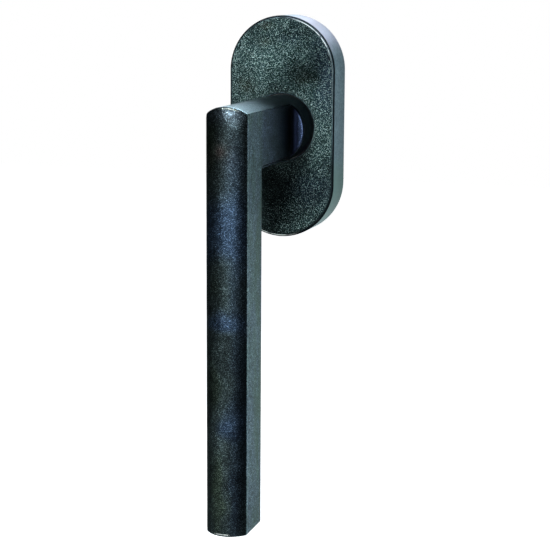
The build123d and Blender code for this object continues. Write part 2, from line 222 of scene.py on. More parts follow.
def mean_over_edges(ends, at_a, at_b, size):
    """For each vertex, the mean of the values that its edges have at that end."""
    a, b = ends
    count = np.bincount(a, minlength=size) + np.bincount(b, minlength=size)
    return (np.bincount(a, at_a, size) + np.bincount(b, at_b, size)) / count


def smooth_where(mesh, places, weight, rounds):
    """Draws each vertex towards the middle of its neighbours, as far as its weight says."""
    a, b = ends = edge_ends(mesh)
    for _ in range(rounds):
        middle = [mean_over_edges(ends, places[b, axis], places[a, axis], len(places)) for axis in range(3)]
        places = places + (np.column_stack(middle) - places) * 0.5 * weight[:, None]
    return places


def edge_values(mesh, sharp):
    """1 along outer edges, 0 on flat and hollow places; sharp is the bend per millimetre of an edge."""
    places, normals = places_and_normals(mesh)
    a, b = ends = edge_ends(mesh)
    along = places[b] - places[a]
    length = np.maximum((along ** 2).sum(1), 1e-10)
    bend = ((normals[b] - normals[a]) * along).sum(1) / length * MM
    value = mean_over_edges(ends, bend, bend, len(places))
    for _ in range(3):
        value = 0.5 * value + 0.5 * mean_over_edges(ends, value[b], value[a], len(places))
    return ease(value, 0.25 * sharp, sharp)


CLOUD_WARP = 1.5
CLOUD_WAVES = 6.0


def clouds(places, spots):
    """Soft clouds on an upright face: each spot has x, z, half width, half height, all in mm, and amount."""
    x = places[:, 0] / MM + CLOUD_WARP * noise_at(places, CLOUD_WAVES)
    z = places[:, 2] / MM + CLOUD_WARP * noise_at(places + 1.0, CLOUD_WAVES)
    total = np.zeros(len(places))
    for at_x, at_z, wide, high, amount in spots:
        total += amount * np.exp(-((x - at_x) / wide) ** 2 - ((z - at_z) / high) ** 2)
    return total


NECK_RADIUS = 10.0
CROWN_START = 62.0
GRIP_END = 114.0
GRIP_SKIN_DEPTH = 0.035

# Clouds on the grip's front: brighter or darker, colder or warmer, and rusty. The brighter and darker clouds
# are partly painted light: a painted highlight band, shifted left low down, a painted highlight near the top,
# and painted shade along both edges
GRIP_TONES_AND_PAINTED_LIGHT = (
    (2.6, 6.0, 2.4, 4.0, 0.12), (-1.6, 8.0, 2.2, 5.0, -0.22), (-4.5, 2, 3.5, 12, -0.2), (0.5, -3, 9, 6, -0.1),
    (0.5, -24, 5, 11, 0.35), (0.5, -39, 5, 7, -0.15), (-0.5, -51, 5, 3, 0.4), (0, -66, 9, 11, -0.2),
    (1.5, -80.5, 4, 4, 0.25), (-2, -97, 4, 9, 0.15), (0, -112, 9, 7, -0.15), (6, -50, 2.2, 70, -0.35),
    (-6.5, -50, 1.8, 70, -0.2), (5.8, -95, 2.6, 28, -0.5), (-6, -95, 2, 28, -0.35),
    (-2.0, -88, 2.0, 28, 1.1), (-2.4, -62, 2, 7, 0.5), (2.2, -84, 2.4, 32, -0.3), (0, -57.5, 3.5, 4, -0.3),
    (-0.2, -4, 0.9, 14, -0.26), (1.6, -6, 1.0, 6, 0.12), (1.4, 3.5, 1.4, 3.0, -0.38), (4.6, 2, 1.0, 5, 0.7),
    (3.6, 5.2, 1.1, 1.8, 0.35), (4.3, 4.8, 0.8, 1.6, 0.8), (-2.9, -2, 0.9, 2.2, 0.9),
    (-0.5, 5.5, 1.0, 1.8, -0.35), (1.4, 5.5, 1.0, 1.6, -0.3))
GRIP_HUES = (
    (-4.5, -2, 3.5, 9, -0.8), (1.5, -24, 6, 9, 0.9), (-3, -40, 3, 5, -0.5), (-0.5, -51, 5, 3, 0.9),
    (-3.5, -70, 3, 9, -0.7), (1.5, -81, 4.5, 4.5, 0.8), (-3, -97, 3.5, 9, -0.5), (4.5, -60, 2.5, 60, 0.4),
    (-1.5, -106, 2.2, 14, -0.6), (3, -104, 2.2, 16, 0.3), (-5, -26, 2.5, 12, 0.5),
    (1.5, -5, 3.5, 8, 0.36))
GRIP_RUST = ((-1.3, -1.6, 1.4, 2.4, 0.9), (-4.2, -4.0, 1.5, 3.0, 0.3), (0.8, -3.5, 3.0, 6.0, 0.16))


def make_lever():
    """The casting with its crown rolled off at the top, its edges eased and its skin uneven."""
    piece = dense_copy("lever", "lever_cast", cell=0.32)
    mesh = piece.data
    places, normals = places_and_normals(mesh)
    x, out, z = in_millimetres(places)

    # Towards the top the crown falls back, and the edge there is drawn smooth
    below_top = np.sqrt(np.maximum(NECK_RADIUS ** 2 - x ** 2, 0)) - z
    fall = 0.42 * np.clip(1 - below_top / 7.0, 0, 1) ** 2 + 0.14 * np.clip(1 - below_top / 1.8, 0, 1) ** 2
    places[:, 1] += fall * np.maximum(out - CROWN_START, 0) * MM
    near_edge = ease(1.2 - np.abs(below_top), 0, 0.6) * ease(out, 60, 61.5) * (z > 5)
    places = smooth_where(mesh, places, near_edge, rounds=8)

    # The cast skin is uneven, but not in the bore or near the rosette
    outside = (np.hypot(x, z) > 8.0) | (z < -7) | (out > 30)
    skin = outside * ease(out, 21, 24)
    wave = 0.5 + 0.5 * noise_at(places, 5.0, octaves=2)
    places -= normals * (skin * np.clip(wave, 0, 1) * GRIP_SKIN_DEPTH * MM)[:, None]
    move_to(mesh, places)

    # Values that the material reads
    keep_values(mesh, "front", ease(-normals[:, 1], 0.35, 0.6) * ease(out, 59, 60.5))
    keep_values(mesh, "shoulder", ease(-normals[:, 1], 0.3, 0.9) * ease(-out, -30, -25))
    keep_values(mesh, "reach", np.abs(x))
    keep_values(mesh, "up", ease(normals[:, 2], 0.5, 0.9))
    keep_values(mesh, "edge", edge_values(mesh, sharp=0.55))
    # Where the crown's top is painted lighter, a painted highlight
    keep_values(mesh, "glow", ease(z, 3, 8))
    # Painted highlights along the crown's top edge and along its foot
    keep_values(mesh, "painted_top_highlight", np.exp(-((x - 1.2) / 2.2) ** 4) * ease(out, 58, 61) * (z > 3))
    keep_values(mesh, "painted_foot_highlight",
                np.exp(-((x + 0.6) / 1.9) ** 4) * ease(-z, 110, 111) * ease(out, 61.5, 62.5))
    # The tone holds random tone and painted light: a painted highlight band, a painted highlight at the top
    # and painted shade along both edges
    keep_values(mesh, "tone", np.clip(1 + clouds(places, GRIP_TONES_AND_PAINTED_LIGHT), 0.2, 3))
    keep_values(mesh, "hue", np.clip(clouds(places, GRIP_HUES), -1, 1))
    keep_values(mesh, "rust", clouds(places, GRIP_RUST))

    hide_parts("lever")
    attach(piece, "lever")
    return piece


ROSETTE_DEPTH = 12.0
ROSETTE_HALF_WIDTH = 16.75
ROSETTE_STRAIGHT = 17.25
ROSETTE_CORNER = 0.5
ROSETTE_SKIN_DEPTH = 0.03

# Clouds on the rosette's face and on its rim: brighter or darker, colder or warmer. The darker clouds low on
# the face are painted shadow of the neck and grip; the rim's hues tint its highlights, lilac at the top right
# and green low down, and the rim's tone clouds brighten or darken its painted highlight at the top right
FACE_TONES_AND_SHADOW = (
    (-8, 23, 6, 4, 0.35), (-4, 21, 9, 3.5, 0.3), (-14, 14, 4, 9, 0.15), (-11.5, 13, 3, 3, -0.25),
    (-8, 27.5, 2.2, 2, -0.3), (-3, 25.5, 2, 1.5, -0.2), (3, 29.5, 3, 2, -0.15), (7, 17, 7, 4.5, -0.4),
    (9.5, 16, 2.5, 2, -0.2), (-2, 11.5, 5, 3, -0.3), (13.5, -3, 4, 7, 0.3), (13.5, 10, 3, 9, 0.15),
    (2, -19, 12, 9, -0.55), (-4, -20, 5, 9, -0.3), (9, -18, 3, 3, 0.05), (-2, -31, 5, 4, -0.35),
    (11.5, 9, 3, 4, 0.1), (-6.5, 15, 4, 4, 0.25), (3.2, 17, 3.5, 3.5, -0.2), (13, 22, 4, 5, -0.35),
    (8.5, 29, 4, 3, -0.3), (-2, 29, 3, 2, 0.2), (-15, 26, 4, 4, 0.15))
FACE_HUES = (
    (14, 18, 4, 14, 0.9), (3, 28, 5, 4, 0.4), (-10, 22, 8, 4, -0.1), (-11.5, 13, 4, 3, -0.45),
    (8, 15, 4, 3, -0.4), (-5.5, 26, 2, 1.5, -0.4), (0, 30.5, 2, 1.5, -0.35), (-5, 31, 2.5, 1.5, -0.5),
    (7, -19, 6, 5, 0.7), (-2, -14, 5, 4, -0.2), (-4, -26, 5, 8, 0.1), (13, -3, 4, 7, -0.2),
    (14, -16, 3, 9, 0.3))
RIM_HUES_AND_HIGHLIGHTS = (
    (7, 32, 7, 5, 1.0), (13.5, 26, 3.5, 5, 0.6), (15, -22, 8, 12, -1.3), (-14, -20, 6, 12, -0.5),
    (16, -2, 3, 10, 0.2))
RIM_PAINTED_LIGHT = ((14.2, 25.8, 2.4, 2.8, 0.7), (9, 31.5, 4, 2.4, -0.3))


def make_cover():
    """The rosette's shell with a rounded front edge and a face rough from the sand."""
    piece = dense_copy("rosette_cover", "rosette_cast", cell=0.28)
    mesh = piece.data
    places, normals = places_and_normals(mesh)
    x, out, z = in_millimetres(places)
    middle = np.clip(z, -ROSETTE_STRAIGHT, ROSETTE_STRAIGHT)
    reach = np.maximum(np.hypot(x, z - middle), 1e-6)
    inward, deep = ROSETTE_HALF_WIDTH - reach, ROSETTE_DEPTH - out

    # The front edge becomes round
    cut = (inward < ROSETTE_CORNER) & (deep < ROSETTE_CORNER)
    across, down = inward[cut] - ROSETTE_CORNER, deep[cut] - ROSETTE_CORNER
    length = np.maximum(np.hypot(across, down), 1e-6)
    to_reach = ROSETTE_HALF_WIDTH - ROSETTE_CORNER * (1 + across / length)
    places[cut, 0] = x[cut] / reach[cut] * to_reach * MM
    places[cut, 2] = (middle[cut] + (z - middle)[cut] / reach[cut] * to_reach) * MM
    places[cut, 1] = -(ROSETTE_DEPTH - ROSETTE_CORNER * (1 + down / length)) * MM

    # The face is uneven, as the sand left it
    face = ease(-normals[:, 1], 0.75, 0.95) * ease(out, ROSETTE_DEPTH - 0.3, ROSETTE_DEPTH - 0.1)
    face *= ease(inward, 0.4, 0.6)
    lumps = 0.5 + 0.1 * noise_at(places, 0.7) + 0.5 * noise_at(places, 4.0)
    places -= normals * (face * np.clip(lumps, 0, 1.2) * ROSETTE_SKIN_DEPTH * MM)[:, None]
    move_to(mesh, places)

    # Values that the material reads
    flecks = noise_at(places, 1.5)
    # Painted shade: a nearly black line along the rounded front edge, wider at the lower right
    line_width = 0.75 + 0.2 * ease(-z, 0, 20) * ease(x, 0, 6)
    line = ease(line_width - inward, 0, 0.25) * ease(0.62 - deep, 0, 0.25)
    # Painted highlights: a bright line on the upper right edge of the face and one at its foot
    painted_edge_highlight = ease(x, 2, 7) * ease(z, 2, 8) * (0.12 + 0.88 * ease(z, 20, 26)) * ease(0.7 + flecks, 0, 0.6)
    painted_sill_highlight = ease(-z, 30, 32) * np.exp(-((x + 2.3) / 6) ** 4) * ease(0.6 + flecks, 0, 0.8)
    # Painted light: shade near the foot, and a lighter band inside the lower edge; both go into the tone with
    # the clouds
    foot_shade = ease(1.6 - inward, 0, 1.2) * ease(-z, 25, 30) * ease(ROSETTE_DEPTH - 0.5 - deep, 0, 1)
    painted_light_band = np.exp(-((inward - 2.6) / 1.1) ** 2) * ease(-z, 20, 27) * ease(x, -3, 3)
    tone = np.clip(0.97 + 1.3 * clouds(places, FACE_TONES_AND_SHADOW) + 0.5 * painted_light_band, 0.2, 3)
    keep_values(mesh, "face", face)
    keep_values(mesh, "edge", line)
    keep_values(mesh, "painted_edge_highlight", painted_edge_highlight)
    keep_values(mesh, "painted_sill_highlight", painted_sill_highlight)
    keep_values(mesh, "tone", tone * (1 - 0.7 * foot_shade))
    keep_values(mesh, "hue", np.clip(clouds(places, FACE_HUES), -1, 1))
    keep_values(mesh, "rim_hue_and_highlight", np.clip(clouds(places, RIM_HUES_AND_HIGHLIGHTS), -1, 1))
    keep_values(mesh, "rim_painted_light", 1 + clouds(places, RIM_PAINTED_LIGHT))
    keep_values(mesh, "inside", ease(inward, 1.0, 1.9) * ease(deep, 1.0, 1.9))

    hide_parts("rosette_cover")
    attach(piece, "cover")
    return piece


SCREW_HEIGHT = 21.5
SHANK_END = 7.4
THREAD_START = 7.3
THREAD_END = 37.25
THREAD_CREST = 2.5
THREAD_ROOT = 2.04
THREAD_PITCH = 0.8
THREAD_PROFILE = ((0, THREAD_ROOT), (0.25, THREAD_ROOT), (0.5625, THREAD_CREST), (0.6875, THREAD_CREST))
THREAD_STEPS = 36
TIP_RADIUS = 1.7


def make_screw(node, name, height):
    """The CAD screw's head and shank, carried on by a helical thread that starts and ends in the root."""
    work = welded(frame["nodes"][node].data)
    everything = list(work.verts) + list(work.edges) + list(work.faces)
    cut = bmesh.ops.bisect_plane(
        work, geom=everything, plane_co=(0, SHANK_END * MM, 0), plane_no=(0, 1, 0), clear_outer=True)
    bmesh.ops.edgeloop_fill(work, edges=[e for e in cut["geom_cut"] if isinstance(e, bmesh.types.BMEdge)])

    # One helix for each corner of the thread's profile, turn after turn
    turns = int((THREAD_END - THREAD_START) / THREAD_PITCH) + 2
    rings = []
    for turn in range(-1, turns):
        for phase, radius in THREAD_PROFILE:
            ring = []
            for step in range(THREAD_STEPS):
                out = THREAD_START + (turn + phase + step / THREAD_STEPS) * THREAD_PITCH
                out = min(max(out, THREAD_START), THREAD_END)
                grown = min((out - THREAD_START) / THREAD_PITCH, 1)
                r = min(THREAD_ROOT + grown * (radius - THREAD_ROOT), TIP_RADIUS + THREAD_END - out)
                a = 2 * math.pi * step / THREAD_STEPS
                ring.append(work.verts.new((r * math.cos(a) * MM, out * MM, (height - r * math.sin(a)) * MM)))
            rings.append(ring)

    # Faces between neighbouring helices, each joined to its next turn, and flat ends
    new = [v for ring in rings for v in ring]
    per_turn = len(THREAD_PROFILE)
    faces = []
    for i in range(len(rings) - 1):
        for step in range(THREAD_STEPS - 1):
            faces.append((rings[i][step], rings[i][step + 1], rings[i + 1][step + 1], rings[i + 1][step]))
        if i + 1 + per_turn < len(rings):
            faces.append((rings[i][-1], rings[i + per_turn][0], rings[i + 1 + per_turn][0], rings[i + 1][-1]))
    for face in faces:
        work.faces.new(face)
    bmesh.ops.remove_doubles(work, verts=new, dist=1e-6)
    bmesh.ops.dissolve_degenerate(work, edges=work.edges, dist=1e-7)
    bmesh.ops.delete(work, geom=[v for v in work.verts if not v.link_faces], context="VERTS")
    bmesh.ops.edgeloop_fill(work, edges=[e for e in work.edges if e.is_boundary])
    bmesh.ops.recalc_face_normals(work, faces=work.faces)

    mesh = bpy.data.meshes.new(name)
    work.to_mesh(mesh)
    work.free()
    for polygon in mesh.polygons:
        polygon.use_smooth = True
    mesh.set_sharp_from_angle(angle=math.radians(25))
    piece = bpy.data.objects.new(name, mesh)
    bpy.context.scene.collection.objects.link(piece)
    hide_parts(node)
    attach(piece, "base")
    return piece


lever = make_lever()
cover = make_cover()
screws = [make_screw("fixing_screw_upper", "screw_upper", SCREW_HEIGHT),
          make_screw("fixing_screw_lower", "screw_lower", -SCREW_HEIGHT)]


# Materials

class Paint:
    """One material, built node by node; places are in millimetres on the object."""

    def __init__(self, name):
        self.material = bpy.data.materials.new(name)
        self.material.use_nodes = True
        self.nodes = self.material.node_tree.nodes
        self.links = self.material.node_tree.links
        self.shader = self.nodes["Principled BSDF"]
        where = self.nodes.new("ShaderNodeTexCoord")
        scale = self.nodes.new("ShaderNodeVectorMath")
        scale.operation = "SCALE"
        scale.inputs["Scale"].default_value = 1 / MM
        self.links.new(where.outputs["Object"], scale.inputs[0])
        self.place = scale.outputs["Vector"]

    def set(self, values):
        for name, value in values.items():
            self.shader.inputs[name].default_value = value

    def axes(self):
        split = self.nodes.new("ShaderNodeSeparateXYZ")
        self.links.new(self.place, split.inputs[0])
        return split.outputs["X"], split.outputs["Y"], split.outputs["Z"]

    def link(self, source, socket):
        self.links.new(source, self.shader.inputs[socket])

    def stretch(self, x, y, z):
        node = self.nodes.new("ShaderNodeVectorMath")
        node.operation = "MULTIPLY"
        node.inputs[1].default_value = (x, y, z)
        self.links.new(self.place, node.inputs[0])
        return node.outputs["Vector"]

    def noise(self, size, detail, rough=0.5, place=None, offset=0.0):
        """Cloudy noise whose blobs are about size millimetres."""
        node = self.nodes.new("ShaderNodeTexNoise")
        node.noise_dimensions = "4D"
        node.inputs["W"].default_value = offset
        node.inputs["Scale"].default_value = 1 / size
        node.inputs["Detail"].default_value = detail
        node.inputs["Roughness"].default_value = rough
        self.links.new(place or self.place, node.inputs["Vector"])
        return node.outputs["Fac"]

    def spread(self, value, low, high, to_low=0.0, to_high=1.0, smooth=True):
        """Goes from to_low to to_high as the value goes from low to high, and stays there beyond."""
        node = map_range(self.nodes, low, high, to_low, to_high, smooth)
        self.links.new(value, node.inputs["Value"])
        return node.outputs["Result"]

    def math(self, a, b, kind="ADD"):
        node = math_node(self.nodes, kind)
        for i, value in enumerate((a, b)):
            if isinstance(value, (int, float)):
                node.inputs[i].default_value = value
            else:
                self.links.new(value, node.inputs[i])
        return node.outputs[0]

    def hypot(self, a, b):
        return self.math(self.math(self.math(a, 2, "POWER"), self.math(b, 2, "POWER")), 0.5, "POWER")

    def band(self, value, middle, none_at, full_at):
        """A line along value = middle: 0 from none_at away from it, 1 within full_at of it."""
        away = self.math(self.math(value, middle, "SUBTRACT"), 0, "ABSOLUTE")
        return self.spread(away, none_at, full_at)

    def mix(self, factor, a, b, kind="MIX"):
        node = self.nodes.new("ShaderNodeMix")
        node.data_type = "RGBA"
        node.blend_type = kind
        node.clamp_factor = True
        for name, value in (("Factor", factor), ("A", a), ("B", b)):
            socket = [s for s in node.inputs if s.name == name and s.enabled and
                      s.type == ("VALUE" if name == "Factor" else "RGBA")][0]
            if isinstance(value, (int, float)):
                socket.default_value = value if name == "Factor" else (value, value, value, 1)
            elif isinstance(value, tuple):
                socket.default_value = (*value, 1)
            else:
                self.links.new(value, socket)
        return [s for s in node.outputs if s.type == "RGBA"][0]

    def tint(self, colour, factor):
        """The colour times the factor, which is a number or another colour."""
        return self.mix(1.0, colour, factor, "MULTIPLY")

    def vector(self, kind, a, b=None):
        node = self.nodes.new("ShaderNodeVectorMath")
        node.operation = kind
        for i, value in enumerate((a, b)):
            if isinstance(value, (int, float)):
                node.inputs["Scale"].default_value = value
            elif isinstance(value, tuple):
                node.inputs[i].default_value = value
            elif value is not None:
                self.links.new(value, node.inputs[i])
        return node.outputs[0]

    def crystals(self, size, tilt=0.0):
        """Small crystals: a number from 0 to 1 for each, and a normal that leans another way in each."""
        cells = self.nodes.new("ShaderNodeTexVoronoi")
        cells.inputs["Scale"].default_value = 1 / size
        self.links.new(self.place, cells.inputs["Vector"])
        split = self.nodes.new("ShaderNodeSeparateColor")
        self.links.new(cells.outputs["Color"], split.inputs[0])
        lean = self.vector("SCALE", self.vector("SUBTRACT", cells.outputs["Color"], (0.5, 0.5, 0.5)), tilt)
        return split.outputs[0], self.vector("NORMALIZE", self.vector("ADD", self.normal(), lean))

    def normal(self):
        return self.nodes.new("ShaderNodeNewGeometry").outputs["Normal"]

    def attribute(self, name):
        node = self.nodes.new("ShaderNodeAttribute")
        node.attribute_name = name
        return node.outputs["Fac"]

    def bump(self, height, depth, under=None):
        """Depth is in millimetres for a height of one; under is the normal that the bumps lie on."""
        node = self.nodes.new("ShaderNodeBump")
        node.inputs["Strength"].default_value = 1.0
        node.inputs["Distance"].default_value = depth * MM
        self.links.new(height, node.inputs["Height"])
        if under is not None:
            self.links.new(under, node.inputs["Normal"])
        return node.outputs["Normal"]


def around(paint, z=0.0):
    """Coordinates for marks left by turning: the distance from axes along Y at heights z and -z, and Y."""
    across, along, up = paint.axes()
    height = paint.math(paint.math(up, 0, "ABSOLUTE"), z, "SUBTRACT")
    join = paint.nodes.new("ShaderNodeCombineXYZ")
    paint.links.new(paint.hypot(across, height), join.inputs["X"])
    paint.links.new(along, join.inputs["Y"])
    return join.outputs[0]


EASED_EDGE = 0.12


def worked_metal(name, dull, clean, rough, marks=None, mark_size=0.12, depth=0.004, grain=0.0):
    """Metal with tool marks, clouded by handling, its edges a little rounded and rubbed bright."""
    paint = Paint(name)
    paint.set({"Metallic": 1.0})
    bevel = paint.nodes.new("ShaderNodeBevel")
    bevel.samples = 4
    bevel.inputs["Radius"].default_value = EASED_EDGE * MM
    dot = paint.nodes.new("ShaderNodeVectorMath")
    dot.operation = "DOT_PRODUCT"
    paint.links.new(bevel.outputs[0], dot.inputs[0])
    paint.links.new(paint.normal(), dot.inputs[1])
    rubbed = paint.spread(dot.outputs["Value"], 0.985, 0.8, smooth=False)
    cloud = paint.noise(3.5, detail=4, rough=0.6)
    stain = paint.noise(1.1, detail=5, rough=0.65, offset=3.0)
    colour = paint.mix(paint.spread(cloud, 0.35, 0.65), dull, clean)
    colour = paint.tint(colour, paint.spread(stain, 0.25, 0.7, 0.78, 1.06))
    bare = tuple(min(1, c * 1.35 + 0.05) for c in clean)
    paint.link(paint.mix(paint.math(rubbed, 0.6, "MULTIPLY"), colour, bare), "Base Color")
    marked = paint.noise(mark_size, detail=3, rough=0.6, place=marks(paint) if marks else None, offset=6.0)
    level = paint.spread(stain, 0.3, 0.7, rough + 0.06, rough - 0.05)
    level = paint.math(level, paint.spread(marked, 0.3, 0.7, -0.04, 0.05))
    paint.link(paint.math(level, paint.math(rubbed, 0.12, "MULTIPLY"), "SUBTRACT"), "Roughness")
    normal = paint.bump(marked, depth, under=bevel.outputs[0])
    if grain:
        normal = paint.bump(paint.noise(0.45, detail=4, rough=0.7, offset=9.0), grain, under=normal)
    paint.link(normal, "Normal")
    return paint.material


def turned(z):
    return lambda paint: around(paint, z)


def stretched(x, y, z):
    return lambda paint: paint.stretch(x, y, z)


def nylon(name, colour, rough):
    """Moulded plastic: a faint sheen, fine turning marks of its mould, and a mottled depth."""
    paint = Paint(name)
    paint.set({"Subsurface Weight": 0.12, "Subsurface Scale": 0.4 * MM, "IOR": 1.53})
    cloud = paint.noise(2.5, detail=4, rough=0.6)
    paint.link(paint.tint(colour, paint.spread(cloud, 0.3, 0.7, 0.86, 1.08)), "Base Color")
    marks = paint.noise(0.2, detail=3, place=around(paint), offset=2.0)
    paint.link(paint.math(paint.spread(marks, 0.3, 0.7, -0.05, 0.05), rough), "Roughness")
    fine = paint.noise(0.12, detail=2, offset=4.0)
    paint.link(paint.bump(fine, 0.003, under=paint.bump(marks, 0.004)), "Normal")
    return paint.material


def clouded(paint, cold, plain, warm):
    """Three colours, chosen by the mesh's own hue value from 1, cold, to -1, warm."""
    hue = paint.attribute("hue")
    colour = paint.mix(paint.spread(hue, 0, 0.8), plain, cold)
    return paint.mix(paint.spread(hue, 0, -0.8), colour, warm)


CAST_IRON = {"Metallic": 1.0, "Specular Tint": (0.5, 0.5, 0.5, 1)}


def grip_iron():
    """Blackened iron: the crowned front dark, with clouded colours, the sides paler and brushed along."""
    paint = Paint("iron_grip")
    paint.set(CAST_IRON)
    across, along, height = paint.axes()
    out = paint.math(along, -1.0, "MULTIPLY")
    front, up, reach = paint.attribute("front"), paint.attribute("up"), paint.attribute("reach")

    # The crowned front. Near its top, where the highlight falls, it is mixed to a lighter, more neutral
    # grey-blue, a painted highlight colour, and its tone holds painted light as well as random tone
    spots = paint.noise(3.0, detail=4, rough=0.6, offset=8.0)
    dark = clouded(paint, (0.0205, 0.0320, 0.0510), (0.0232, 0.0320, 0.0328), (0.0222, 0.0308, 0.0240))
    dark = paint.mix(paint.attribute("rust"), dark, (0.036, 0.030, 0.028))
    dark = paint.tint(dark, paint.spread(spots, 0.35, 0.65, 0.75, 1.2))
    dark = paint.mix(paint.math(paint.attribute("glow"), 0.75, "MULTIPLY"), dark, (0.027, 0.034, 0.0415))
    dark = paint.tint(dark, paint.attribute("tone"))

    # The sides, with streaks along them, grains and pits
    streaks = paint.noise(0.8, detail=5, rough=0.65, place=paint.stretch(1, 1, 0.16), offset=2.0)
    patch = paint.noise(4.0, detail=3, place=paint.stretch(1, 1, 0.4), offset=5.0)
    pale = paint.mix(paint.spread(patch, 0.42, 0.58), (0.100, 0.146, 0.170), (0.094, 0.143, 0.148))
    pale = paint.tint(pale, paint.spread(streaks, 0.3, 0.7, 0.76, 1.28))
    speck = paint.crystals(0.42)[0]
    pale = paint.tint(pale, paint.spread(speck, 0.0, 1.0, 0.35, 1.60, smooth=False))
    dots = paint.crystals(0.26)[0]
    pale = paint.tint(pale, paint.spread(dots, 0.88, 0.95, 0.94, 2.1))
    pits = paint.noise(0.9, detail=3, rough=0.7, offset=12.0)
    pale = paint.tint(pale, paint.spread(pits, 0.56, 0.66, 1.0, 0.75))

    # A tint on the neck's flat, a plain top, and sides that turn darker and greener towards the back; at
    # their front edge the sides are painted half as bright again, a painted edge highlight
    pale = paint.tint(pale, paint.mix(paint.spread(out, 47, 52), (0.77, 0.74, 0.86), (1, 1, 1)))
    pale = paint.mix(up, pale, (0.110, 0.148, 0.168))
    backward = paint.math(paint.spread(out, 58, 52), paint.spread(patch, 0.35, 0.6, 0.2, 0.9), "MULTIPLY")
    backward = paint.math(backward, paint.spread(height, -10, -20), "MULTIPLY")
    pale = paint.mix(paint.math(backward, 0.85, "MULTIPLY"), pale, (0.074, 0.116, 0.096))
    pale = paint.tint(pale, paint.spread(out, 61.0, 61.7, 1.0, 1.5))

    # Painted shade: the neck darkens towards the rosette, most of all on its turned part, and its top, more
    # so on the left, keeps its lighter colour further back. The sides are painted lighter low down, painted
    # light, and turn darker towards the foot
    lifted = paint.math(up, paint.spread(across, 3, -6, 0.1, 0.22), "MULTIPLY")
    clear_of_rosette = paint.math(paint.spread(out, 20, 54), lifted)
    turned_part = paint.math(up, paint.spread(reach, 7.0, 9.0), "MAXIMUM")
    deep = paint.mix(turned_part, (0.009, 0.012, 0.017), (0.021, 0.031, 0.039))
    pale = paint.mix(clear_of_rosette, deep, pale)
    pale = paint.tint(pale, paint.spread(height, -50, -5, 1.25, 0.92))
    pale = paint.tint(pale, paint.spread(height, -118, -85, 0.78, 1.0))
    # Painted light and shade on the shoulder: dark on its inner part, a lighter blue on its outer part
    shoulder = paint.mix(paint.spread(reach, 7.9, 9.3), (0.003, 0.004, 0.009), (0.036, 0.050, 0.092))
    pale = paint.mix(paint.attribute("shoulder"), pale, shoulder)
    colour = paint.mix(front, pale, dark)

    # Painted highlights: bright lines where the front meets the top and the foot
    arc = paint.math(paint.math(NECK_RADIUS ** 2, paint.math(across, 2, "POWER"), "SUBTRACT"), 0.5, "POWER")
    for name, distance, place, light in (
            ("painted_top_highlight", paint.math(arc, height, "SUBTRACT"), 0.45, (0.30, 0.33, 0.30)),
            ("painted_foot_highlight", paint.math(height, GRIP_END, "ADD"), 0.72, (0.98, 1.0, 0.94))):
        band = paint.band(distance, place, 0.22, 0.08)
        colour = paint.mix(paint.math(band, paint.attribute(name), "MULTIPLY"), colour, light)

    # Sparkle over everything, half as strong on the sides: each crystal a little lighter or darker, and the
    # brightest few painted as glints, painted highlights
    sparkle, leaning = paint.crystals(0.12, 0.14)
    bright = paint.math(paint.spread(sparkle, 0.0, 1.0, 0.22, 1.2, smooth=False),
                        paint.spread(sparkle, 0.88, 0.95, 0.0, 3.8))
    bright = paint.math(paint.math(bright, 1.0, "SUBTRACT"), paint.spread(front, 0, 1, 0.5, 1.0), "MULTIPLY")
    paint.link(paint.tint(colour, paint.math(1.0, bright)), "Base Color")
    rough = paint.spread(front, 0, 1, 0.35, 0.40)
    rubbed = paint.math(paint.attribute("edge"), 0.1, "MULTIPLY")
    paint.link(paint.math(rough, rubbed, "SUBTRACT"), "Roughness")
    grain = paint.noise(0.10, detail=2, rough=0.6)
    paint.link(paint.bump(grain, 0.006, under=leaning), "Normal")
    return paint.material


